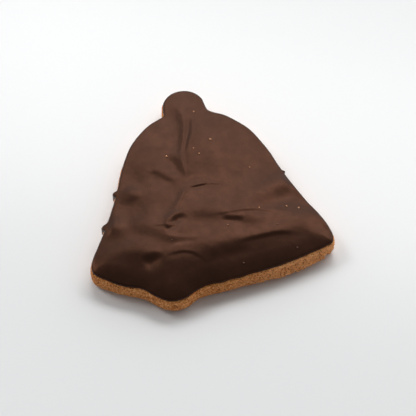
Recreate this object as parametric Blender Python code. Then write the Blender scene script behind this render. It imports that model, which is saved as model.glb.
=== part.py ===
"""Bell-shaped lebkuchen biscuit with a chocolate coat on its top face.

+Z is up, +Y runs along the bell to its knob and +X is to the right, seen from above.
The origin is on the floor, under the middle of the part's box.
Sizes are in millimetres; the meshes are written in metres.
"""

import bpy
import numpy as np
from mathutils import Vector, noise
from mathutils.geometry import delaunay_2d_cdt

for thing in list(bpy.data.objects):
    bpy.data.objects.remove(thing, do_unlink=True)

MM = 0.001

# --- driving dimensions, mm -------------------------------------------------

BISCUIT_EDGE = 6.1      # height of the biscuit at its border
DOME_BACK = 0.9         # how much higher the biscuit's middle is than its border, towards the knob
DOME_FRONT = 2.3        # the same towards the rim
REACH_FLANK = 18.0      # distance from the border over which it rises, at the flanks
REACH_FRONT = 12.5      # the same at the rim
FRONT_START = -16.0     # y where the dome starts to turn into an even slope down to the rim
FRONT_SPAN = 9.0        # distance over which it does so
FRONT_LIFT = (22.0, 0.2)    # x from which that starts further back, and how much further for each mm
GAP = 0.3               # between the biscuit's top and the coat's underside
COAT = 1.2              # thickness of the coat, away from its border
COAT_ROUND = 0.7        # distance from its border over which the coat rounds up

KNOB_CENTRE = (-0.25, 36.0)
KNOB_RADIUS = 8.05
# (y, half width) down the bell's flank, the same on both sides
FLANK = [(33.5, 8.5), (32.4, 10.1), (30.4, 13.8), (26.2, 18.4), (22.1, 21.7), (17.0, 24.3),
         (11.0, 26.7), (5.0, 28.5), (0.0, 30.2), (-6.0, 32.6), (-12.0, 35.2), (-18.0, 38.2)]
CORNER_LEFT = [(-40.5, -22.8), (-41.3, -25.8), (-40.9, -28.4), (-38.9, -30.6)]
CORNER_RIGHT = [(38.6, -30.7), (40.2, -29.5), (40.7, -27.0), (40.0, -22.8)]
# the rim from left to right; the clapper hangs out of it, left of the middle
RIM = [(-35.8, -32.7), (-32.0, -34.6), (-28.0, -36.3), (-24.9, -37.8), (-22.0, -40.3),
       (-19.1, -42.5), (-15.1, -43.5), (-11.4, -42.8), (-8.4, -40.9), (-5.4, -39.8),
       (0.0, -39.2), (6.0, -38.4), (12.0, -37.4), (18.0, -36.1), (24.0, -34.9),
       (30.0, -33.3), (35.0, -31.9)]
# small bulges of the border: (x, y, height, half length before and after it, going anticlockwise)
BORDER_BUMPS = [(-29.6, 2.0, 0.55, 1.3, 0.8), (-35.1, -11.4, 0.60, 2.0, 0.5), (29.6, 1.9, 0.3, 0.6, 0.6)]
# how far the coat's border stays inside the biscuit's, and (x, y, more, half length) where it differs
COAT_INSET = 0.45
COAT_INSET_RIM = 0.66
COAT_NOTCHES = [(37.0, -29.6, 0.85, 1.8), (32.4, -31.6, 0.3, 1.8), (19.4, -35.3, -0.2, 2.5),
                (10.6, -36.6, 0.35, 2.4), (3.6, -37.7, 0.3, 2.6), (-3.5, -38.4, 0.4, 2.6),
                (-14.9, -42.7, 0.1, 2.6), (-22.6, -39.4, -0.15, 2.0), (-26.5, -36.0, 0.2, 2.0),
                (-31.3, -34.6, -0.3, 2.5), (-37.2, -30.9, 0.25, 2.2)]
# (x, how far the bottom of the rim stands out): crumbly right of the middle, worn off at the corner
CRUMBLE = [(8, 0.0), (15, 0.6), (20, 0.95), (25, 0.9), (29, 1.3), (32, 0.8), (36, 0.3), (38, -0.5),
           (40, -0.4)]
# the bare side, as (height, how far inside the border): rounded below, a little full in the middle
SIDE = [(0.0, 1.6), (0.45, 1.0), (0.9, 0.38), (1.6, 0.02), (2.8, -0.05), (4.1, 0.0), (5.4, 0.08),
        (5.85, 0.2), (BISCUIT_EDGE, 0.42)]

BORDER_STEP = 1.0       # spacing of the points round the border
COAT_STEP = 1.6         # spacing of the points over the coat's top
CAP_STEP = 4.5          # spacing of the points over the biscuit's top and the underside
RING_LIMIT = 2.2        # the rings along the border come no further in

# --- relief of the coat: where the poured chocolate set in waves -------------
# waves: (path, width, fall-off, height). Over the width the coat steps up to the path's left side,
# and settles back to its own level over the fall-off on both sides.
WAVES = [
    ([(-17.4, 9.8), (-13.2, 6.6), (-10.4, 4.4), (-7.8, 1.2)], 3.5, 3.6, 0.48),
    ([(-3.0, 42.0), (-2.7, 34.0), (-2.7, 26.5), (-3.8, 20.0), (-5.1, 13.0), (-5.4, 6.0)], 4.0, 4.6, 0.60),
    ([(-9.2, 16.2), (-7.4, 12.6), (-6.2, 9.0), (-5.2, 3.6)], 3.4, 3.6, 0.56),
    ([(-5.0, 2.6), (-8.6, -4.0), (-11.4, -8.6), (-14.2, -13.6)], 4.2, 4.2, 0.50),
    ([(-7.4, -10.6), (-9.7, -11.8), (-12.3, -13.6), (-14.6, -15.6)], 1.8, 2.4, -0.90),
    ([(-15.4, -16.3), (-12.9, -15.9), (-10.6, -15.0)], 1.6, 1.7, 0.62),
    ([(-12.0, -10.4), (-6.0, -11.8), (0.0, -13.4), (6.0, -15.1), (13.0, -16.8), (19.0, -18.4)], 5.4, 6.4, 0.62),
    ([(3.8, -14.9), (7.2, -15.7), (9.6, -16.2), (12.6, -16.9)], 1.9, 2.2, 0.42),
    ([(7.0, -17.4), (14.0, -18.4), (22.0, -17.6), (33.0, -14.6)], 6.0, 6.0, 0.56),
    ([(10.0, -13.6), (21.0, -9.4), (29.0, -6.2), (40.0, -2.0)], 8.0, 6.6, 1.30),
    ([(-18.6, 22.0), (-20.0, 6.0), (-20.5, -14.0)], 8.0, 7.0, 0.50),
    ([(20.0, -21.0), (31.0, -20.6), (50.0, -21.0)], 7.0, 6.4, 0.84),
    ([(-29.0, -11.6), (-20.0, -16.8), (-16.0, -19.2), (-10.0, -24.0)], 6.0, 5.4, 0.58),
    ([(-25.0, -27.0), (-20.8, -26.6), (-16.6, -26.6)], 3.0, 2.4, 0.72),
    ([(2.0, -28.6), (7.5, -28.2), (13.0, -27.6)], 3.4, 3.0, 0.40),
    ([(-6.0, -32.0), (1.6, -27.6), (8.0, -26.2), (16.0, -25.6)], 4.0, 7.0, 0.40),
    ([(6.5, -26.4), (13.0, -25.1), (19.0, -24.4), (23.0, -24.2), (29.0, -25.2)], 1.1, 6.0, 0.40),
    ([(20.0, -24.6), (28.0, -24.4), (38.0, -26.0)], 4.2, 7.0, 0.30),
    ([(-40.0, -22.8), (-31.0, -24.2), (-24.0, -24.6), (-15.0, -26.6)], 5.0, 7.0, 0.30),
]
# round swellings: (x, y, radius, height)
SWELLS = [(-23.8, 0.6, 3.2, 0.54), (-31.6, -12.2, 3.8, 0.60), (-21.6, -28.8, 2.4, -0.34),
          (27.5, -4.2, 4.6, 0.40)]

BAKED = (0.34, 0.14, 0.05)          # colours, linear
CHOCOLATE = (0.07, 0.03, 0.02)


# --- border -----------------------------------------------------------------

def closed_curve(control, step):
    """A centripetal Catmull-Rom curve through the control points, resampled at an even step."""
    p = np.array(control, float)
    dense = []
    for i in range(len(p)):
        a, b, c, d = p[i - 1], p[i], p[(i + 1) % len(p)], p[(i + 2) % len(p)]
        t1 = np.hypot(*(b - a)) ** 0.5
        t2 = t1 + np.hypot(*(c - b)) ** 0.5
        t3 = t2 + np.hypot(*(d - c)) ** 0.5
        t = np.linspace(t1, t2, 20, endpoint=False)[:, None]
        ab = (t1 - t) / t1 * a + t / t1 * b
        bc = (t2 - t) / (t2 - t1) * b + (t - t1) / (t2 - t1) * c
        cd = (t3 - t) / (t3 - t2) * c + (t - t2) / (t3 - t2) * d
        abc = (t2 - t) / t2 * ab + t / t2 * bc
        bcd = (t3 - t) / (t3 - t1) * bc + (t - t1) / (t3 - t1) * cd
        dense.append((t2 - t) / (t2 - t1) * abc + (t - t1) / (t2 - t1) * bcd)
    dense = np.vstack(dense)
    dense = np.vstack([dense, dense[:1]])
    run = np.concatenate([[0], np.cumsum(np.hypot(*np.diff(dense, axis=0).T))])
    even = np.linspace(0, run[-1], int(round(run[-1] / step)), endpoint=False)
    return np.column_stack([np.interp(even, run, dense[:, k]) for k in (0, 1)])


def smooth(t):
    """0 to 1 with soft ends."""
    t = np.clip(t, 0, 1)
    return t * t * (3 - 2 * t)


def outward(points):
    """Unit normals of a closed border that runs anticlockwise."""
    along = np.roll(points, -1, axis=0) - np.roll(points, 1, axis=0)
    along /= np.hypot(*along.T)[:, None]
    return np.column_stack([along[:, 1], -along[:, 0]])


def border():
    """The biscuit's border, anticlockwise and without its bumps, its normals and the bumps' height."""
    x, y = KNOB_CENTRE
    knob = [(x + KNOB_RADIUS * np.cos(a), y + KNOB_RADIUS * np.sin(a)) for a in np.linspace(0, np.pi, 9)]
    left = [(-half, y) for y, half in FLANK]
    right = [(half, y) for y, half in reversed(FLANK)]
    points = closed_curve(knob + left + CORNER_LEFT + RIM + CORNER_RIGHT + right, BORDER_STEP)
    bumps = np.zeros(len(points))
    for x, y, height, before, after in BORDER_BUMPS:
        away = np.hypot(points[:, 0] - x, points[:, 1] - y)
        past = np.arange(len(points)) > away.argmin()
        bumps += height * np.exp(-(away / np.where(past, after, before)) ** 2)
    return points, outward(points), bumps


rim, normals, bumps = border()


def inset(distance):
    """The border moved inwards by one distance, or one for each point, with less of its bumps further in."""
    return rim + normals * (bumps * (1 - smooth(distance / 2.0)) - distance)[:, None]


# --- heights ----------------------------------------------------------------

def from_path(points, path):
    """For each point: distance to a path, signed distance (left above 0), and place along it, 0 to 1."""
    path = np.array(path, float)
    start, span = path[:-1], np.diff(path, axis=0)
    length = np.hypot(*span.T)
    rel = points[:, None, :] - start[None]
    t = np.clip((rel * span).sum(2) / length ** 2, 0, 1)
    away = np.hypot(*np.moveaxis(rel - t[..., None] * span, 2, 0))
    nearest = away.argmin(1)
    row = np.arange(len(points))
    side = np.sign(span[nearest, 0] * rel[row, nearest, 1] - span[nearest, 1] * rel[row, nearest, 0])
    before = np.concatenate([[0], np.cumsum(length)])
    place = (before[nearest] + t[row, nearest] * length[nearest]) / before[-1]
    return away[row, nearest], away[row, nearest] * side, place


def bend(path):
    """The path with its corners cut twice, so that a wave along it has no kinks."""
    p = np.array(path, float)
    for _ in range(2):
        q = np.empty((2 * len(p) - 2, 2))
        q[0::2] = p[:-1] * 0.75 + p[1:] * 0.25
        q[1::2] = p[:-1] * 0.25 + p[1:] * 0.75
        p = np.vstack([p[:1], q, p[-1:]])
    return p


def relief(points):
    """Height that the waves in the chocolate add."""
    height = np.zeros(len(points))
    for path, width, fall, amount in WAVES:
        away, signed, place = from_path(points, bend(path))
        ends = smooth(place / 0.35) * smooth((1 - place) / 0.35)
        height += amount / 2 * ends * np.tanh(2 * signed / width) * np.exp(-(away / fall) ** 2)
    for x, y, radius, amount in SWELLS:
        height += amount * np.exp(-((points[:, 0] - x) ** 2 + (points[:, 1] - y) ** 2) / radius ** 2)
    return height


def dome(points, depth):
    """Height of the biscuit's top: round and low towards its flanks, an even slope down to its rim."""
    x, y = points[:, 0], points[:, 1]
    flank = 0.4 * (1 - (1 - np.clip(depth / REACH_FLANK, 0, 1)) ** 1.6) + 0.6 * smooth(depth / REACH_FLANK)
    slope = 1 - np.logaddexp(0, 12 * (1 - depth / REACH_FRONT)) / 12
    front = smooth((FRONT_START - y + FRONT_LIFT[1] * np.clip(x - FRONT_LIFT[0], 0, None)) / FRONT_SPAN)
    rise = DOME_BACK + (DOME_FRONT - DOME_BACK) * smooth((8 - y) / 34)
    return BISCUIT_EDGE + rise * (flank * (1 - front) + slope * front)


def coat_edge():
    """How far the coat's border is inside the biscuit's, along it."""
    edge = COAT_INSET + (COAT_INSET_RIM - COAT_INSET) * smooth((-26 - rim[:, 1]) / 4)
    for x, y, more, half in COAT_NOTCHES:
        edge += more * np.exp(-((rim[:, 0] - x) ** 2 + (rim[:, 1] - y) ** 2) / half ** 2)
    return edge


def thickness(points, from_edge):
    """The coat's thickness: rounded up from its border, and thinning out towards the rim."""
    flank = 0.25 + 0.75 * np.sqrt(1 - (1 - np.clip(from_edge / COAT_ROUND, 0, 1)) ** 2)
    lip = np.sqrt(1 - (1 - np.clip(from_edge / 0.4, 0, 1)) ** 2)
    thin = 0.2 + 0.3 * lip + 0.5 * (1 - (1 - np.clip(from_edge / 6, 0, 1)) ** 2)
    front = smooth((-22 - points[:, 1]) / 6)
    return COAT * (flank * (1 - front) + thin * front)


def coat_top(points, depth, from_edge):
    """Height of the coat's top, from the depths inside the biscuit's border and inside the coat's own."""
    return dome(points, depth) + GAP + thickness(points, from_edge) + relief(points) * smooth(depth / 3.0)


def soft_depth(points, away):
    """Distance to the border, without the creases that the plain distance has between two edges."""
    squares = ((points[:, None, :] - rim[None]) ** 2).sum(2).clip(0.04)
    soft = (np.pi / 2 / BORDER_STEP / (squares ** -2).sum(1)) ** (1 / 3)
    share = smooth((away - 0.8) / 3.0)
    return away * (1 - share) + soft * share


# --- meshes -----------------------------------------------------------------

def lattice(step, ring, margin):
    """Staggered points inside a ring, at least margin away from it, and their depths inside the border."""
    low, high = ring.min(0), ring.max(0)
    rows = np.arange(low[1], high[1], step * 0.866)
    columns = np.arange(low[0], high[0], step)
    points = np.array([(x + step / 2 * (k % 2), y) for k, y in enumerate(rows) for x in columns])
    away, signed, _ = from_path(points, np.vstack([ring, ring[:1]]))
    points = points[(signed > 0) & (away > margin)]
    away, _, _ = from_path(points, np.vstack([rim, rim[:1]]))
    return points, soft_depth(points, away)


def triangles(ring, inside):
    """Triangles over a border and the points inside it, as indices into the two, one after the other."""
    n = len(ring)
    flat = [Vector(p) for p in np.vstack([ring, inside])]
    found = delaunay_2d_cdt(flat, [(i, (i + 1) % n) for i in range(n)], [], 1, 1e-6)
    source = [ids[0] for ids in found[3]]
    faces = []
    for face in found[2]:
        a, b, c = (source[i] for i in face)
        turn = (flat[b] - flat[a]).cross(flat[c] - flat[a])
        faces.append((a, b, c) if turn > 0 else (a, c, b))
    return faces


def solid(name, rings, bottom, top, material):
    """A closed body through rings from the underside's border up to the top's.

    bottom and top are the points inside the first and the last ring.
    """
    n = len(rings[0])
    verts = np.vstack(rings + [bottom, top])
    faces = []
    for k in range(len(rings) - 1):
        for i in range(n):
            j = (i + 1) % n
            faces.append((k * n + i, k * n + j, (k + 1) * n + j, (k + 1) * n + i))
    first_bottom = len(rings) * n
    first_top = first_bottom + len(bottom)
    last_ring = (len(rings) - 1) * n
    for face in triangles(rings[0][:, :2], bottom[:, :2]):
        faces.append(tuple(i if i < n else first_bottom + i - n for i in reversed(face)))
    for face in triangles(rings[-1][:, :2], top[:, :2]):
        faces.append(tuple(last_ring + i if i < n else first_top + i - n for i in face))
    mesh = bpy.data.meshes.new(name)
    mesh.from_pydata([tuple(v) for v in verts * MM], [], faces)
    mesh.validate()
    mesh.materials.append(material)
    mesh.update()
    mesh.shade_smooth()
    thing = bpy.data.objects.new(name, mesh)
    collection.objects.link(thing)
    return thing


def with_height(points, z):
    return np.column_stack([points, np.broadcast_to(z, len(points))])


def surface(name, colour, roughness):
    material = bpy.data.materials.new(name)
    material.use_nodes = True
    shader = material.node_tree.nodes["Principled BSDF"]
    shader.inputs["Base Color"].default_value = (*colour, 1.0)
    shader.inputs["Roughness"].default_value = roughness
    shader.inputs["Metallic"].default_value = 0.0
    return material


# --- the two pieces -----------------------------------------------------------

def crags(points, z):
    """How far the baked side stands out of the border: uneven, with coarse crumbs low on the rim's right."""
    fine = np.array([noise.noise(Vector((x * 0.45, y * 0.45, z * 0.6))) for x, y in points])
    coarse = np.array([noise.noise(Vector((x * 0.55, y * 0.55, 7 + z * 0.6))) for x, y in points])
    low = smooth((-22 - points[:, 1]) / 4) * smooth((5.1 - z) / 2.6) * smooth((z - 0.2) / 0.9)
    crumbly = low * smooth((points[:, 0] - 8) / 8)
    bulge = np.interp(points[:, 0], *zip(*CRUMBLE))
    return 0.14 * fine + low * bulge + crumbly * 0.6 * coarse


def biscuit():
    rings = [with_height(inset(inside - crags(rim, z)), z) for z, inside in SIDE]
    under, _ = lattice(CAP_STEP, rings[0][:, :2], 1.4)
    over, depth = lattice(CAP_STEP, rings[-1][:, :2], 1.4)
    top = with_height(over, dome(over, depth))
    return solid("biscuit", rings, with_height(under, 0.0), top, surface("biscuit", BAKED, 0.85))


def coat():
    edge = coat_edge()
    reach = (RING_LIMIT - edge) / (RING_LIMIT - COAT_INSET)
    inner, foot = inset(edge + 0.25), inset(edge)
    rings = [
        with_height(inner, dome(inner, edge + 0.25) + GAP),
        with_height(foot, dome(foot, edge) + GAP + 0.25),
    ]
    for from_edge in (0.15, 0.5, 1.2):
        inside = from_edge * reach
        ring = inset(edge + inside)
        rings.append(with_height(ring, coat_top(ring, edge + inside, inside)))
    under, depth = lattice(CAP_STEP, inner, 1.4)
    bottom = with_height(under, dome(under, depth) + GAP)
    over, depth = lattice(COAT_STEP, rings[-1][:, :2], 0.9)
    from_edge, _, _ = from_path(over, np.vstack([foot, foot[:1]]))
    top = with_height(over, coat_top(over, depth, from_edge))
    return solid("chocolate_coat", rings, bottom, top, surface("chocolate", CHOCOLATE, 0.34))


collection = bpy.data.collections.new("lebkuchen")
bpy.context.scene.collection.children.link(collection)
lebkuchen = bpy.data.objects.new("lebkuchen", None)
collection.objects.link(lebkuchen)
parts = [biscuit(), coat()]

# the origin is under the middle of the box
corners = np.array([v.co for part in parts for v in part.data.vertices])
middle = (corners.min(0) + corners.max(0)) / 2
for part in parts:
    part.parent = lebkuchen
    part.location = (-middle[0], -middle[1], 0)
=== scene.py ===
"""Looks of the bell-shaped lebkuchen: the baked biscuit, its chocolate coat and the crumbs on it.

Shapes are worked out in millimetres, with the same numbers as the part's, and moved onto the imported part.
+Z is up, +Y runs along the bell to its knob and +X is to the right, seen from above.
"""
import math

import bmesh
import bpy
import numpy as np
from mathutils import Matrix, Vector, noise
from mathutils.geometry import delaunay_2d_cdt


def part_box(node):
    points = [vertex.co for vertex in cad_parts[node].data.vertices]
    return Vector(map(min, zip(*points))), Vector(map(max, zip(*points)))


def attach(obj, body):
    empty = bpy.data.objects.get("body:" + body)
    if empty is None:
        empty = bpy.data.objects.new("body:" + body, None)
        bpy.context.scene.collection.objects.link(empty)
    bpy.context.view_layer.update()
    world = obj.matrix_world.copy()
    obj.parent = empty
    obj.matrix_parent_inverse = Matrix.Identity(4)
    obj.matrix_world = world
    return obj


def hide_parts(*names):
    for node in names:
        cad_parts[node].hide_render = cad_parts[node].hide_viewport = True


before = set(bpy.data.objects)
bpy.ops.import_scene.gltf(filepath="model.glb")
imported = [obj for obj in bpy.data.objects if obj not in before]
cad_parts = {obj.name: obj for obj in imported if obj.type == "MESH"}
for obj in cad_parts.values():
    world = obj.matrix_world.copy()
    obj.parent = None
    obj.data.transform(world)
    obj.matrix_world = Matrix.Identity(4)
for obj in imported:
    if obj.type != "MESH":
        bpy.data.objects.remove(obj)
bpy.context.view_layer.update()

MM = 0.001

# --- driving dimensions, mm: the same as the part's ---------------------------

BISCUIT_EDGE = 6.1      # height of the biscuit at its border
DOME_BACK = 0.9         # how much higher the biscuit's middle is than its border, towards the knob
DOME_FRONT = 2.3        # the same towards the rim
REACH_FLANK = 18.0      # distance from the border over which it rises, at the flanks
REACH_FRONT = 12.5      # the same at the rim
FRONT_START = -16.0     # y where the dome starts to turn into an even slope down to the rim
FRONT_SPAN = 9.0        # distance over which it does so
FRONT_LIFT = (22.0, 0.2)    # x from which that starts further back, and how much further for each mm
GAP = 0.3               # the coat's top stands as high as on the part, where a gap is under it
COAT = 1.2              # thickness of the coat, away from its border
COAT_ROUND = 0.7        # distance from its border over which the coat rounds up

KNOB_CENTRE = (-0.25, 36.0)
KNOB_RADIUS = 8.05
# (y, half width) down the bell's flank, the same on both sides
FLANK = [(33.5, 8.5), (32.4, 10.1), (30.4, 13.8), (26.2, 18.4), (22.1, 21.7), (17.0, 24.3),
         (11.0, 26.7), (5.0, 28.5), (0.0, 30.2), (-6.0, 32.6), (-12.0, 35.2), (-18.0, 38.2)]
CORNER_LEFT = [(-40.5, -22.8), (-41.3, -25.8), (-40.9, -28.4), (-38.9, -30.6)]
CORNER_RIGHT = [(38.6, -30.7), (40.2, -29.5), (40.7, -27.0), (40.0, -22.8)]
# the rim from left to right; the clapper hangs out of it, left of the middle
RIM = [(-35.8, -32.7), (-32.0, -34.6), (-28.0, -36.3), (-24.9, -37.8), (-22.0, -40.3),
       (-19.1, -42.5), (-15.1, -43.5), (-11.4, -42.8), (-8.4, -40.9), (-5.4, -39.8),
       (0.0, -39.2), (6.0, -38.4), (12.0, -37.4), (18.0, -36.1), (24.0, -34.9),
       (30.0, -33.3), (35.0, -31.9)]
# small bulges of the border: (x, y, height, half length before and after it, going anticlockwise)
BORDER_BUMPS = [(-29.6, 2.0, 0.55, 1.3, 0.8), (-35.1, -11.4, 0.60, 2.0, 0.5), (29.6, 1.9, 0.3, 0.6, 0.6)]
BUMP_REACH = 2.0        # depth inside the border where nothing is left of them
# how far the coat's border stays inside the biscuit's, and (x, y, more, half length) where it differs
COAT_INSET = 0.45
COAT_INSET_RIM = 0.66
COAT_NOTCHES = [(37.0, -29.6, 0.85, 1.8), (32.4, -31.6, 0.3, 1.8), (19.4, -35.3, -0.2, 2.5),
                (10.6, -36.6, 0.35, 2.4), (3.6, -37.7, 0.3, 2.6), (-3.5, -38.4, 0.4, 2.6),
                (-14.9, -42.7, 0.1, 2.6), (-22.6, -39.4, -0.15, 2.0), (-26.5, -36.0, 0.2, 2.0),
                (-31.3, -34.6, -0.3, 2.5), (-37.2, -30.9, 0.25, 2.2)]
# (x, how far the bottom of the rim stands out): crumbly right of the middle, worn off at the corner
CRUMBLE = [(8, 0.0), (15, 0.6), (20, 0.95), (25, 0.9), (29, 1.3), (32, 0.8), (36, 0.3), (38, -0.5),
           (40, -0.4)]
# the bare side, as (height, how far inside the border): rounded below, a little full in the middle.
# The part's side has the same places, with fewer points in the rounding.
SIDE = [(0.0, 1.6), (0.3, 1.2), (0.6, 0.78), (0.9, 0.38), (1.25, 0.12), (1.8, 0.0), (2.8, -0.05),
        (4.1, 0.0), (5.4, 0.08), (5.85, 0.2), (BISCUIT_EDGE, 0.42)]

# --- how finely the surfaces are cut, mm ----------------------------------------

BORDER_STEP = 0.36      # spacing of the points round the border
COAT_STEP = 0.36        # spacing of the points over the coat's top
CAP_STEP = 4.5          # spacing over the surfaces that are hidden or flat
CAP_MARGIN = 1.2        # how far those points stay away from their ring
RING_LIMIT = 1.9        # the rings along the border come no further in
SIDE_HEIGHTS = [0.0, 0.12, 0.25, *np.linspace(0.5, 5.85, 25), 6.0, BISCUIT_EDGE]
COAT_RINGS = (0.0, 0.03, 0.09, 0.18, 0.32, 0.52, 0.78, 1.1)    # how far inside the coat's border
# rings under the coat: (how far inside its border, how far above the biscuit's top)
HIDDEN_RINGS = ((0.5, -0.15), (0.12, -0.12), (0.02, -0.02))
BLOCK = 3000            # points that are measured at a time, to spare memory

# --- relief of the coat: where the poured chocolate set in waves --------------
# waves: (path, width, fall-off, height). Over the width the coat steps up to the path's left side,
# and settles back to its own level over the fall-off on both sides.
WAVES = [
    ([(-17.4, 9.8), (-13.2, 6.6), (-10.4, 4.4), (-7.8, 1.2)], 3.5, 3.6, 0.48),
    ([(-3.0, 42.0), (-2.7, 34.0), (-2.7, 26.5), (-3.8, 20.0), (-5.1, 13.0), (-5.4, 6.0)], 4.0, 4.6, 0.60),
    ([(-9.2, 16.2), (-7.4, 12.6), (-6.2, 9.0), (-5.2, 3.6)], 3.4, 3.6, 0.56),
    ([(-5.0, 2.6), (-8.6, -4.0), (-11.4, -8.6), (-14.2, -13.6)], 4.2, 4.2, 0.50),
    ([(-7.4, -10.6), (-9.7, -11.8), (-12.3, -13.6), (-14.6, -15.6)], 1.8, 2.4, -0.90),
    ([(-15.4, -16.3), (-12.9, -15.9), (-10.6, -15.0)], 1.6, 1.7, 0.62),
    ([(-12.0, -10.4), (-6.0, -11.8), (0.0, -13.4), (6.0, -15.1), (13.0, -16.8), (19.0, -18.4)],
     5.4, 6.4, 0.62),
    ([(3.8, -14.9), (7.2, -15.7), (9.6, -16.2), (12.6, -16.9)], 1.9, 2.2, 0.42),
    ([(7.0, -17.4), (14.0, -18.4), (22.0, -17.6), (33.0, -14.6)], 6.0, 6.0, 0.56),
    ([(10.0, -13.6), (21.0, -9.4), (29.0, -6.2), (40.0, -2.0)], 8.0, 6.6, 1.30),
    ([(-18.6, 22.0), (-20.0, 6.0), (-20.5, -14.0)], 8.0, 7.0, 0.50),
    ([(20.0, -21.0), (31.0, -20.6), (50.0, -21.0)], 7.0, 6.4, 0.84),
    ([(-29.0, -11.6), (-20.0, -16.8), (-16.0, -19.2), (-10.0, -24.0)], 6.0, 5.4, 0.58),
    ([(-25.0, -27.0), (-20.8, -26.6), (-16.6, -26.6)], 3.0, 2.4, 0.72),
    ([(2.0, -28.6), (7.5, -28.2), (13.0, -27.6)], 3.4, 3.0, 0.40),
    ([(-6.0, -32.0), (1.6, -27.6), (8.0, -26.2), (16.0, -25.6)], 4.0, 7.0, 0.40),
    ([(6.5, -26.4), (13.0, -25.1), (19.0, -24.4), (23.0, -24.2), (29.0, -25.2)], 1.1, 6.0, 0.40),
    ([(20.0, -24.6), (28.0, -24.4), (38.0, -26.0)], 4.2, 7.0, 0.30),
    ([(-40.0, -22.8), (-31.0, -24.2), (-24.0, -24.6), (-15.0, -26.6)], 5.0, 7.0, 0.30),
]
# fine lines, too narrow for the part's solids
LINES = [
    ([(0.8, 36.0), (-1.2, 25.0), (-2.6, 19.6), (-4.2, 14.0), (-4.4, 2.0)], 0.9, 1.6, -0.40),
    ([(2.2, 36.0), (0.6, 25.0), (-1.0, 20.6), (-2.9, 17.0), (-4.2, 9.6)], 1.6, 2.2, 0.34),
    ([(-4.6, -0.6), (-1.8, -0.3), (0.2, 0.0), (2.6, 0.0)], 0.5, 1.5, 0.27),
    ([(0.0, 0.1), (3.4, -0.2), (8.0, -1.3)], 0.6, 1.2, 0.07),
    ([(-4.2, 0.2), (-7.0, -4.6), (-9.8, -10.2)], 0.9, 1.6, -0.26),
    ([(-19.0, -14.6), (-15.5, -15.0), (-12.0, -15.5)], 0.8, 1.2, 0.12),
    ([(-2.0, -13.5), (7.0, -13.5), (13.0, -13.4), (19.0, -14.3), (28.0, -16.7)], 0.9, 2.0, 0.15),
    ([(-17.4, -17.8), (-10.0, -20.2), (-2.0, -21.2)], 1.2, 2.2, -0.14),
    ([(-16.4, -24.2), (-10.0, -23.0), (-4.0, -24.0)], 1.2, 2.2, -0.14),
    ([(-17.0, -27.6), (-12.0, -26.4), (-8.4, -26.9), (-5.6, -28.8), (-2.6, -32.2)], 0.6, 1.8, 0.18),
]
WAVE_ENDS = 0.35        # share of a wave's length over which it rises from nothing at each end
# round swellings: (x, y, radius, height)
SWELLS = [(-23.8, 0.6, 3.2, 0.54), (-31.6, -12.2, 3.8, 0.60), (-21.6, -28.8, 2.4, -0.34),
          (27.5, -4.2, 4.6, 0.40)]

# the coat's border drips over the border's bumps
BUMP_FULL = 0.55        # height of a bump that the coat drips over in full
DRIP_OUT = 0.75         # how far out its border then comes
DRIP_DOWN = 2.6         # and how far down

# loose crumbs on the coat, and crumbs under a film of chocolate: (x, y, width)
SPECKS = [(-9.7, 14.2, 0.75), (6.5, 19.0, 0.80), (0.0, 16.0, 0.50), (1.6, 13.4, 0.56), (2.8, 32.7, 0.56),
          (17.8, 4.8, 0.50), (27.0, -13.6, 0.60), (31.0, -14.8, 0.60), (6.0, -18.4, 0.50),
          (17.6, -13.2, 0.54)]
COATED_SPECKS = [(8.6, -33.4, 0.60), (27.2, -30.3, 0.65), (-13.4, -21.6, 0.50), (12.6, -8.2, 0.40),
                 (22.4, -20.8, 0.45), (-17.0, 3.2, 0.40)]

# coarse crumbs that stand out of the rim's bare side, low on the right
GRANULES = 230          # drawn at random between GRANULES_X, in front of GRANULES_Y
GRANULES_X = (6.0, 36.0)
GRANULES_Y = -28.0
GRANULES_KEPT = [(6, 0.15), (14, 0.5), (22, 1.0), (33, 1.0), (36, 0.4)]     # (x, share that stays)
GRANULES_SEED = 11


# --- border -------------------------------------------------------------------

def closed_curve(control, step):
    """A centripetal Catmull-Rom curve through the control points, resampled at an even step."""
    p = np.array(control, float)
    dense = []
    for i in range(len(p)):
        a, b, c, d = p[i - 1], p[i], p[(i + 1) % len(p)], p[(i + 2) % len(p)]
        t1 = np.hypot(*(b - a)) ** 0.5
        t2 = t1 + np.hypot(*(c - b)) ** 0.5
        t3 = t2 + np.hypot(*(d - c)) ** 0.5
        t = np.linspace(t1, t2, 40, endpoint=False)[:, None]
        ab = (t1 - t) / t1 * a + t / t1 * b
        bc = (t2 - t) / (t2 - t1) * b + (t - t1) / (t2 - t1) * c
        cd = (t3 - t) / (t3 - t2) * c + (t - t2) / (t3 - t2) * d
        abc = (t2 - t) / t2 * ab + t / t2 * bc
        bcd = (t3 - t) / (t3 - t1) * bc + (t - t1) / (t3 - t1) * cd
        dense.append((t2 - t) / (t2 - t1) * abc + (t - t1) / (t2 - t1) * bcd)
    dense = np.vstack(dense)
    dense = np.vstack([dense, dense[:1]])
    run = np.concatenate([[0], np.cumsum(np.hypot(*np.diff(dense, axis=0).T))])
    even = np.linspace(0, run[-1], int(round(run[-1] / step)), endpoint=False)
    return np.column_stack([np.interp(even, run, dense[:, k]) for k in (0, 1)])


def outward(points):
    """Unit normals of a closed border that runs anticlockwise."""
    along = np.roll(points, -1, axis=0) - np.roll(points, 1, axis=0)
    along /= np.hypot(*along.T)[:, None]
    return np.column_stack([along[:, 1], -along[:, 0]])


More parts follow.
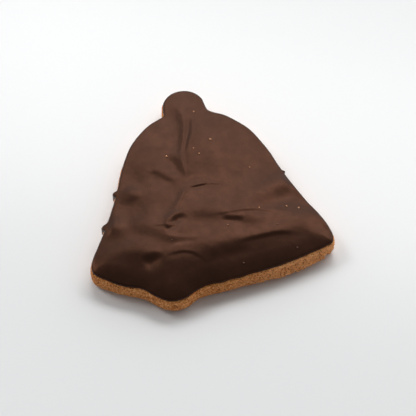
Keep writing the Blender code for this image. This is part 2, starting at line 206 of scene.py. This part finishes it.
def border():
    """The biscuit's border, anticlockwise and without its bumps, its normals and the bumps' height."""
    x, y = KNOB_CENTRE
    knob = [(x + KNOB_RADIUS * np.cos(a), y + KNOB_RADIUS * np.sin(a)) for a in np.linspace(0, np.pi, 9)]
    left = [(-half, y) for y, half in FLANK]
    right = [(half, y) for y, half in reversed(FLANK)]
    points = closed_curve(knob + left + CORNER_LEFT + RIM + CORNER_RIGHT + right, BORDER_STEP)
    bumps = np.zeros(len(points))
    for x, y, height, before, after in BORDER_BUMPS:
        away = np.hypot(points[:, 0] - x, points[:, 1] - y)
        past = np.arange(len(points)) > away.argmin()
        bumps += height * np.exp(-(away / np.where(past, after, before)) ** 2)
    return points, outward(points), bumps


rim, normals, bumps = border()


def inset(distance):
    """The border moved inwards by one distance, or one for each point, with less of its bumps further in."""
    return rim + normals * (bumps * (1 - smooth(distance / BUMP_REACH)) - distance)[:, None]


# --- heights ------------------------------------------------------------------

def from_path(points, path):
    """For each point: distance to a path, signed distance (left above 0), and place along it, 0 to 1."""
    path = np.array(path, float)
    start, span = path[:-1], np.diff(path, axis=0)
    length = np.hypot(*span.T)
    before = np.concatenate([[0], np.cumsum(length)])
    away, side, place = [], [], []
    for k in range(0, len(points), BLOCK):
        some = points[k:k + BLOCK]
        rel = some[:, None, :] - start[None]
        t = np.clip((rel * span).sum(2) / length ** 2, 0, 1)
        dist = np.hypot(*np.moveaxis(rel - t[..., None] * span, 2, 0))
        nearest = dist.argmin(1)
        row = np.arange(len(some))
        away.append(dist[row, nearest])
        cross = span[nearest, 0] * rel[row, nearest, 1] - span[nearest, 1] * rel[row, nearest, 0]
        side.append(np.sign(cross))
        place.append((before[nearest] + t[row, nearest] * length[nearest]) / before[-1])
    away = np.concatenate(away)
    return away, away * np.concatenate(side), np.concatenate(place)


def smooth(t):
    """0 to 1 with soft ends."""
    t = np.clip(t, 0, 1)
    return t * t * (3 - 2 * t)


def bend(path):
    """The path with its corners cut twice, so that a wave along it has no kinks."""
    p = np.array(path, float)
    for _ in range(2):
        q = np.empty((2 * len(p) - 2, 2))
        q[0::2] = p[:-1] * 0.75 + p[1:] * 0.25
        q[1::2] = p[:-1] * 0.25 + p[1:] * 0.75
        p = np.vstack([p[:1], q, p[-1:]])
    return p


def relief(points):
    """Height that the waves in the chocolate add."""
    height = np.zeros(len(points))
    for path, width, fall, amount in WAVES + LINES:
        away, signed, place = from_path(points, bend(path))
        ends = smooth(place / WAVE_ENDS) * smooth((1 - place) / WAVE_ENDS)
        height += amount / 2 * ends * np.tanh(2 * signed / width) * np.exp(-(away / fall) ** 2)
    for x, y, radius, amount in SWELLS:
        height += amount * np.exp(-((points[:, 0] - x) ** 2 + (points[:, 1] - y) ** 2) / radius ** 2)
    return height


def dome(points, depth):
    """Height of the biscuit's top: round and low towards its flanks, an even slope down to its rim."""
    x, y = points[:, 0], points[:, 1]
    flank = 0.4 * (1 - (1 - np.clip(depth / REACH_FLANK, 0, 1)) ** 1.6) + 0.6 * smooth(depth / REACH_FLANK)
    slope = 1 - np.logaddexp(0, 12 * (1 - depth / REACH_FRONT)) / 12
    front = smooth((FRONT_START - y + FRONT_LIFT[1] * np.clip(x - FRONT_LIFT[0], 0, None)) / FRONT_SPAN)
    rise = DOME_BACK + (DOME_FRONT - DOME_BACK) * smooth((8 - y) / 34)
    return BISCUIT_EDGE + rise * (flank * (1 - front) + slope * front)


def coat_edge():
    """How far the coat's border is inside the biscuit's, along it."""
    edge = COAT_INSET + (COAT_INSET_RIM - COAT_INSET) * smooth((-26 - rim[:, 1]) / 4)
    for x, y, more, half in COAT_NOTCHES:
        edge += more * np.exp(-((rim[:, 0] - x) ** 2 + (rim[:, 1] - y) ** 2) / half ** 2)
    return edge


def thickness(points, from_edge):
    """The coat's thickness: rounded up from its border, and thinning out towards the rim."""
    flank = 0.25 + 0.75 * np.sqrt(1 - (1 - np.clip(from_edge / COAT_ROUND, 0, 1)) ** 2)
    lip = np.sqrt(1 - (1 - np.clip(from_edge / 0.4, 0, 1)) ** 2)
    thin = 0.2 + 0.3 * lip + 0.5 * (1 - (1 - np.clip(from_edge / 6, 0, 1)) ** 2)
    front = smooth((-22 - points[:, 1]) / 6)
    return COAT * (flank * (1 - front) + thin * front)


def coat_top(points, depth, from_edge):
    """Height of the coat's top, from the depths inside the biscuit's border and inside the coat's own."""
    return dome(points, depth) + GAP + thickness(points, from_edge) + relief(points) * smooth(depth / 3.0)


def wobble(points, z, scale, seed):
    """Noise of about -1 to 1 at the points; z is one height for them all."""
    return np.array([noise.noise(Vector((x * scale, y * scale, seed + z * scale))) for x, y in points])


# --- meshes -------------------------------------------------------------------

def soft_depth(points, away):
    """Distance to the border, without the creases that the plain distance has between two edges."""
    spacing = np.hypot(*(rim[1] - rim[0]))
    total = []
    for k in range(0, len(points), BLOCK):
        squares = ((points[k:k + BLOCK, None, :] - rim[None]) ** 2).sum(2).clip(0.04)
        total.append((squares ** -2).sum(1))
    soft = (math.pi / 2 / spacing / np.concatenate(total)) ** (1 / 3)
    share = smooth((away - 0.8) / 3.0)
    return away * (1 - share) + soft * share


def lattice(step, ring, margin):
    """Staggered points inside a ring, at least margin away from it, and their depths inside the border."""
    low, high = ring.min(0), ring.max(0)
    rows = np.arange(low[1], high[1], step * 0.866)
    columns = np.arange(low[0], high[0], step)
    points = np.array([(x + step / 2 * (k % 2), y) for k, y in enumerate(rows) for x in columns])
    away, signed, _ = from_path(points, np.vstack([ring, ring[:1]]))
    points = points[(signed > 0) & (away > margin)]
    away, _, _ = from_path(points, np.vstack([rim, rim[:1]]))
    return points, soft_depth(points, away)


def triangles(ring, inside):
    """Triangles over a border and the points inside it, as indices into the two, one after the other."""
    n = len(ring)
    flat = [Vector(p) for p in np.vstack([ring, inside])]
    found = delaunay_2d_cdt(flat, [(i, (i + 1) % n) for i in range(n)], [], 1, 1e-6)
    source = [ids[0] for ids in found[3]]
    faces = []
    for face in found[2]:
        a, b, c = (source[i] for i in face)
        turn = (flat[b] - flat[a]).cross(flat[c] - flat[a])
        faces.append((a, b, c) if turn > 0 else (a, c, b))
    return faces


def with_height(points, z):
    """Flat points with a third coordinate: one height for all, or one for each."""
    return np.column_stack([points, np.broadcast_to(z, len(points))])


def body(rings, bottom, top):
    """Points and faces of a closed body; rings run from the underside's border up to the top's."""
    n = len(rings[0])
    faces = []
    for k in range(len(rings) - 1):
        for i in range(n):
            j = (i + 1) % n
            faces.append((k * n + i, k * n + j, (k + 1) * n + j, (k + 1) * n + i))
    first_bottom = len(rings) * n
    first_top = first_bottom + len(bottom)
    last_ring = (len(rings) - 1) * n
    for face in triangles(rings[0][:, :2], bottom[:, :2]):
        faces.append(tuple(i if i < n else first_bottom + i - n for i in reversed(face)))
    for face in triangles(rings[-1][:, :2], top[:, :2]):
        faces.append(tuple(last_ring + i if i < n else first_top + i - n for i in face))
    return np.vstack(rings + [bottom, top]), faces


coat_border = inset(coat_edge())
coat_low, coat_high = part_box("chocolate_coat")
# from the bell's own frame, in which the lists above are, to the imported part's
packed_middle = (np.array(coat_low[:2]) + np.array(coat_high[:2])) / 2 / MM
shift = packed_middle - (coat_border.min(0) + coat_border.max(0)) / 2


def make(name, verts, faces, material):
    """A piece of the scene that rides on the part, from points in mm."""
    mesh = bpy.data.meshes.new(name)
    placed = (verts + np.array([shift[0], shift[1], 0.0])) * MM
    mesh.from_pydata([tuple(v) for v in placed], [], faces)
    mesh.validate()
    mesh.polygons.foreach_set("use_smooth", [True] * len(mesh.polygons))
    mesh.materials.append(material)
    mesh.update()
    thing = bpy.data.objects.new(name, mesh)
    bpy.context.scene.collection.objects.link(thing)
    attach(thing, "root")
    return thing


# --- materials ----------------------------------------------------------------

WARM_SHINE = (1.0, 0.365, 0.17, 1.0)    # tint of the light that the chocolate throws back


def srgb(r, g, b):
    """A colour given as 0 to 255 on screen, as linear light."""
    parts = (r / 255, g / 255, b / 255)
    return tuple((c / 12.92 if c <= 0.04045 else ((c + 0.055) / 1.055) ** 2.4) for c in parts) + (1.0,)


class Nodes:
    """Short names for building the nodes of a material or of the world."""

    def __init__(self, tree, coords):
        self.tree = tree
        self.coords = tree.nodes.new("ShaderNodeTexCoord").outputs[coords]

    def link(self, output, socket):
        self.tree.links.new(output, socket)

    def feed(self, socket, value):
        """Sets a socket to a number or a colour, or links another node's output to it."""
        if isinstance(value, (tuple, float)):
            socket.default_value = value
        else:
            self.link(value, socket)

    def noise(self, scale, detail, rough, stretch=None, warp=0.0):
        node = self.tree.nodes.new("ShaderNodeTexNoise")
        node.inputs["Scale"].default_value = scale
        node.inputs["Detail"].default_value = detail
        node.inputs["Roughness"].default_value = rough
        node.inputs["Distortion"].default_value = warp
        where = self.coords
        if stretch:
            mapping = self.tree.nodes.new("ShaderNodeMapping")
            mapping.inputs["Scale"].default_value = stretch
            self.link(where, mapping.inputs["Vector"])
            where = mapping.outputs[0]
        self.link(where, node.inputs["Vector"])
        return node.outputs["Fac"]

    def cells(self, scale):
        """Distance to the middle of the nearest cell."""
        node = self.tree.nodes.new("ShaderNodeTexVoronoi")
        node.inputs["Scale"].default_value = scale
        self.link(self.coords, node.inputs["Vector"])
        return node.outputs["Distance"]

    def across(self, axis):
        """The place along one axis."""
        split = self.tree.nodes.new("ShaderNodeSeparateXYZ")
        self.link(self.coords, split.inputs[0])
        return split.outputs[axis]

    def range(self, value, low, high, to_low=0.0, to_high=1.0):
        """The value, brought softly from low..high to to_low..to_high."""
        node = self.tree.nodes.new("ShaderNodeMapRange")
        node.interpolation_type = "SMOOTHSTEP"
        for name, number in (("From Min", low), ("From Max", high), ("To Min", to_low), ("To Max", to_high)):
            node.inputs[name].default_value = number
        self.link(value, node.inputs["Value"])
        return node.outputs[0]

    def mix(self, fac, a, b):
        """Colour a where fac is 0, and b where it is 1."""
        node = self.tree.nodes.new("ShaderNodeMix")
        node.data_type = "RGBA"
        self.feed(node.inputs[0], fac)
        self.feed(node.inputs[6], a)
        self.feed(node.inputs[7], b)
        return node.outputs[2]

    def math(self, how, a, b):
        node = self.tree.nodes.new("ShaderNodeMath")
        node.operation = how
        self.feed(node.inputs[0], a)
        self.feed(node.inputs[1], b)
        return node.outputs[0]

    def bump(self, height, distance, strength, after=None):
        """A normal tilted by the height, on top of the normal given as after."""
        node = self.tree.nodes.new("ShaderNodeBump")
        node.inputs["Distance"].default_value = distance
        node.inputs["Strength"].default_value = strength
        self.link(height, node.inputs["Height"])
        if after is not None:
            self.link(after, node.inputs["Normal"])
        return node.outputs[0]


def new_material(name):
    """A material, its shader and what builds its nodes."""
    material = bpy.data.materials.new(name)
    material.use_nodes = True
    return material, material.node_tree.nodes["Principled BSDF"], Nodes(material.node_tree, "Object")


def chocolate_material():
    """Dark and satin, with a faint mottling in its colour, its roughness and its shine."""
    material, shader, n = new_material("dark_chocolate")
    tone = n.range(n.noise(38.0, 3.0, 0.5, warp=0.4), 0.3, 0.72)
    streak = n.range(n.noise(260.0, 3.0, 0.6, stretch=(1.0, 0.22, 1.0)), 0.35, 0.7)
    colour = n.mix(tone, srgb(35, 22, 17), srgb(41, 26, 20))
    colour = n.mix(n.math("MULTIPLY", streak, 0.4), colour, srgb(44, 28, 20))
    roughness = n.range(n.noise(150.0, 5.0, 0.6, warp=0.5), 0.3, 0.7, 0.30, 0.38)
    shine = n.range(n.noise(420.0, 4.0, 0.6, warp=0.3), 0.32, 0.68, 0.228, 0.272)
    fine = n.bump(n.noise(700.0, 4.0, 0.6), 0.02 * MM, 0.5)
    coarse = n.bump(n.noise(150.0, 2.0, 0.5, warp=0.6), 0.05 * MM, 0.5, after=fine)
    n.link(colour, shader.inputs["Base Color"])
    n.link(roughness, shader.inputs["Roughness"])
    n.link(shine, shader.inputs["Specular IOR Level"])
    n.link(coarse, shader.inputs["Normal"])
    shader.inputs["Specular Tint"].default_value = WARM_SHINE
    return material


def biscuit_material():
    """Baked crumb with flecks, and pores painted dark as painted shade in their pits; paler low on the rim's
    right, where it is broken.
    """
    material, shader, n = new_material("baked_gingerbread")
    tone = n.range(n.noise(240.0, 4.0, 0.6), 0.32, 0.68)
    grain = n.noise(1500.0, 4.0, 0.65)
    pores = n.range(n.cells(1700.0), 0.12, 0.34)
    to_right = n.range(n.across("X"), 6 * MM, 22 * MM)
    to_rim = n.range(n.across("Y"), -22 * MM, -28 * MM)
    broken = n.math("MULTIPLY", to_right, to_rim)
    colour = n.mix(tone, srgb(190, 115, 59), srgb(216, 143, 82))
    colour = n.mix(n.math("MULTIPLY", broken, 0.6), colour, srgb(250, 174, 114))
    colour = n.mix(n.range(grain, 0.5, 0.70), colour, srgb(242, 188, 128))
    colour = n.mix(n.range(grain, 0.46, 0.33), colour, srgb(116, 62, 31))
    # painted shade: the middles of the pores are painted dark where shade falls into them
    colour = n.mix(pores, srgb(98, 52, 26), colour)
    fine = n.bump(grain, 0.2 * MM, 0.8)
    n.link(colour, shader.inputs["Base Color"])
    n.link(n.bump(pores, 0.2 * MM, 0.7, after=fine), shader.inputs["Normal"])
    shader.inputs["Roughness"].default_value = 0.85
    shader.inputs["Specular IOR Level"].default_value = 0.2
    return material


def plain(name, colour, roughness, shine):
    """A material of one colour."""
    material, shader, _ = new_material(name)
    shader.inputs["Base Color"].default_value = colour
    shader.inputs["Roughness"].default_value = roughness
    shader.inputs["Specular IOR Level"].default_value = shine
    return material


# --- biscuit and coat -----------------------------------------------------------

chocolate = chocolate_material()
baked = biscuit_material()
crumb_light = plain("crumb", srgb(222, 164, 112), 0.8, 0.2)
crumb_dull = plain("crumb_on_coat", srgb(190, 138, 102), 0.8, 0.2)
crumb_dark = plain("crumb_in_coat", srgb(88, 58, 42), 0.5, 0.3)


def crags(points, z):
    """How far the baked side stands out of the border: unevenness, and lumps low on the rim's right."""
    wide = wobble(points, z, 0.45, 0.0)
    grainy = wobble(points, z, 1.6, 3.0)
    sandy = wobble(points, z, 3.4, 9.0)
    lumps = wobble(points, z * 1.2, 0.55, 7.0)
    lower = smooth((-22 - points[:, 1]) / 4) * smooth((5.1 - z) / 2.6) * smooth((z - 0.2) / 0.9)
    crumbly = lower * smooth((points[:, 0] - 8) / 8)
    bulge = np.interp(points[:, 0], *zip(*CRUMBLE))
    uneven = 0.14 * wide + 0.09 * grainy + 0.06 * sandy
    return uneven + lower * bulge + crumbly * (0.60 * lumps + 0.20 * grainy)


def biscuit():
    """The baked biscuit, with its domed top hidden under the coat."""
    rings = []
    for z in SIDE_HEIGHTS:
        inside = np.interp(z, *zip(*SIDE))
        rings.append(with_height(inset(inside - crags(rim, z)), z))
    under, _ = lattice(CAP_STEP, rings[0][:, :2], CAP_MARGIN)
    over, depth = lattice(CAP_STEP, rings[-1][:, :2], CAP_MARGIN)
    verts, faces = body(rings, with_height(under, 0.0), with_height(over, dome(over, depth)))
    thing = make("lebkuchen_biscuit", verts, faces, baked)
    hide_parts("biscuit")


def ragged():
    """How far the coat's border wanders in and out, more along the rim than on the flanks."""
    wander = 0.16 * wobble(rim, 0.0, 0.22, 11.0) + 0.08 * wobble(rim, 0.0, 0.8, 13.0)
    wander += 0.05 * wobble(rim, 0.0, 2.0, 17.0)
    return wander * (0.4 + 0.6 * smooth((-24 - rim[:, 1]) / 5))


def coat():
    """The chocolate over the biscuit's top, closed underneath."""
    drip = smooth(bumps / BUMP_FULL)
    sag = DRIP_DOWN * drip
    edge = coat_edge() + ragged() - DRIP_OUT * drip
    reach = (RING_LIMIT - edge) / (RING_LIMIT - COAT_INSET)
    rings = []
    for inside, rise in HIDDEN_RINGS:
        ring = inset(edge + inside * reach)
        rings.append(with_height(ring, dome(ring, edge) + rise - sag))
    for from_edge in COAT_RINGS:
        inside = from_edge * reach
        ring = inset(edge + inside)
        foot = dome(ring, edge) + 0.1 - sag
        rings.append(with_height(ring, coat_top(ring, edge + inside, inside) if from_edge else foot))
    under, depth = lattice(CAP_STEP, rings[0][:, :2], CAP_MARGIN)
    bottom = with_height(under, dome(under, depth) - 0.1)
    over, depth = lattice(COAT_STEP, rings[-1][:, :2], 0.2)
    border_line = inset(edge)
    from_edge, _, _ = from_path(over, np.vstack([border_line, border_line[:1]]))
    uneven = 0.05 * wobble(over, 0.0, 0.17, 21.0) + 0.014 * wobble(over, 0.0, 0.6, 23.0)
    top = coat_top(over, depth, from_edge) + smooth(from_edge / 3) * uneven
    verts, faces = body(rings, bottom, with_height(over, top))
    thing = make("chocolate", verts, faces, chocolate)
    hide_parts("chocolate_coat")


def crumb_mesh(name, crumbs, material):
    """Small rough lumps, a little flat. crumbs: (x, y, z, width)."""
    shape = bmesh.new()
    for k, (x, y, z, width) in enumerate(crumbs):
        centre = Vector((x + shift[0], y + shift[1], z))
        found = bmesh.ops.create_icosphere(shape, subdivisions=2, radius=0.5)
        for v in found["verts"]:
            swell = 1 + 0.5 * noise.noise(v.co * 2.2 + Vector((k * 3.1, 0, 5.0)))
            swell += 0.25 * noise.noise(v.co * 6.0 + Vector((0, k * 1.7, 2.0)))
            v.co = (Vector((v.co.x, v.co.y, v.co.z * 0.8)) * swell * width + centre) * MM
    mesh = bpy.data.meshes.new(name)
    shape.to_mesh(mesh)
    shape.free()
    mesh.materials.append(material)
    mesh.shade_smooth()
    thing = bpy.data.objects.new(name, mesh)
    bpy.context.scene.collection.objects.link(thing)
    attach(thing, "root")


def specks(name, spots, material):
    """Crumbs that lie on the coat. spots: (x, y, width)."""
    where = np.array([(x, y) for x, y, _ in spots])
    away, _, _ = from_path(where, np.vstack([rim, rim[:1]]))
    top = coat_top(where, soft_depth(where, away), away)
    crumb_mesh(name, [(x, y, z + 0.1 * width, width) for (x, y, width), z in zip(spots, top)], material)


def granules():
    """Coarse crumbs that stand out of the baked side, low on the right."""
    rng = np.random.default_rng(GRANULES_SEED)
    x, y = rim[:, 0], rim[:, 1]
    places = np.flatnonzero((y < GRANULES_Y) & (x > GRANULES_X[0]) & (x < GRANULES_X[1]))
    chosen = rng.choice(places, GRANULES)
    z = 1.6 + 3.2 * rng.random(GRANULES)
    width = 0.32 + 0.75 * rng.random(GRANULES) ** 2.5
    keep = rng.random(GRANULES) < np.interp(x[chosen], *zip(*GRANULES_KEPT))
    stand = np.array([crags(rim[k:k + 1], h)[0] for k, h in zip(chosen, z)]) - 0.12 * width
    place = rim[chosen] + normals[chosen] * stand[:, None]
    crumbs = [(x, y, h, w) for (x, y), h, w, k in zip(place, z, width, keep) if k]
    crumb_mesh("crumbs_light", crumbs[0::3], crumb_light)
    crumb_mesh("crumbs_baked", crumbs[1::3] + crumbs[2::3], baked)


biscuit()
coat()
specks("crumbs_on_coat", SPECKS, crumb_dull)
specks("crumbs_in_coat", COATED_SPECKS, crumb_dark)
granules()

# --- stage, camera, light: from here on in metres ----------------------------------

FLOOR = 3.0             # half the floor's side
FLOOR_WHITE = (0.785, 0.792, 0.796, 1)

floor_mesh = bpy.data.meshes.new("floor")
corners = [(-FLOOR, -FLOOR, 0), (FLOOR, -FLOOR, 0), (FLOOR, FLOOR, 0), (-FLOOR, FLOOR, 0)]
floor_mesh.from_pydata(corners, [], [(0, 1, 2, 3)])
floor_mesh.materials.append(plain("floor_white", FLOOR_WHITE, 0.2, 0.25))
floor = bpy.data.objects.new("floor", floor_mesh)
bpy.context.scene.collection.objects.link(floor)


def aim(thing, target):
    """Turns a camera or a light to a point."""
    thing.rotation_euler = (Vector(target) - thing.location).to_track_quat("-Z", "Y").to_euler()


ELEVATION = math.radians(55)
AZIMUTH = math.radians(-9.7)
DISTANCE = 0.450
AIM = (1.67, -4.344, 0.5)       # mm, in the bell's own frame: what lies in the middle of the photo
SENSOR = 36.0                   # mm
PHOTO_WIDTH = 416               # pixels
PIXELS_PER_MM = 2.9             # in the photo, at the distance of its middle

target = Vector((AIM[0] + shift[0], AIM[1] + shift[1], AIM[2])) * MM
camera = bpy.data.objects.new("camera", bpy.data.cameras.new("camera"))
camera.data.sensor_width = SENSOR
camera.data.lens = SENSOR * PIXELS_PER_MM * DISTANCE / MM / PHOTO_WIDTH
camera.data.clip_start = 0.01
level = math.cos(ELEVATION)
towards = Vector((math.sin(AZIMUTH) * level, -math.cos(AZIMUTH) * level, math.sin(ELEVATION)))
camera.location = target + DISTANCE * towards
aim(camera, target)
bpy.context.scene.collection.objects.link(camera)
bpy.context.scene.camera = camera


def area(name, azimuth, elevation, distance, width, height, power):
    """A soft light over the bell; azimuth 0 is behind it, as the camera sees it, and 90 to its right."""
    a = math.radians(azimuth) - AZIMUTH
    e = math.radians(elevation)
    light = bpy.data.lights.new(name, "AREA")
    light.shape = "RECTANGLE"
    light.size = width
    light.size_y = height
    light.energy = power
    thing = bpy.data.objects.new(name, light)
    thing.location = Vector((math.sin(a) * math.cos(e), math.cos(a) * math.cos(e), math.sin(e))) * distance
    aim(thing, (0, 0, 0))
    bpy.context.scene.collection.objects.link(thing)


area("high", 14, 51, 1.0, 0.9, 0.25, 4.7)
area("left", -60, 46, 1.2, 0.4, 0.4, 3.9)
area("right", 70, 45, 1.2, 0.6, 0.6, 0.3)
area("front", 150, 12, 1.2, 1.4, 0.25, 1.5)

# a dim room with a wide bright wall behind the object, brighter on its right and dark overhead
AMBIENT = 0.095
world = bpy.data.worlds.new("studio")
world.use_nodes = True
sky = Nodes(world.node_tree, "Generated")
wall = sky.math("ADD", sky.math("MULTIPLY", sky.range(sky.across("Y"), -0.3, 0.4), 1.5), 0.05)
wall = sky.math("MULTIPLY", wall, sky.range(sky.across("Z"), 0.84, 0.70))
brighter = sky.math("MULTIPLY", sky.range(sky.across("X"), -0.28, 0.12), 0.46)
wall = sky.math("MULTIPLY", wall, sky.math("ADD", brighter, 0.6))
background = world.node_tree.nodes["Background"]
background.inputs["Color"].default_value = (1, 1, 1, 1)
sky.link(sky.math("ADD", wall, AMBIENT), background.inputs["Strength"])
bpy.context.scene.world = world
bpy.context.scene.view_settings.view_transform = "Standard"
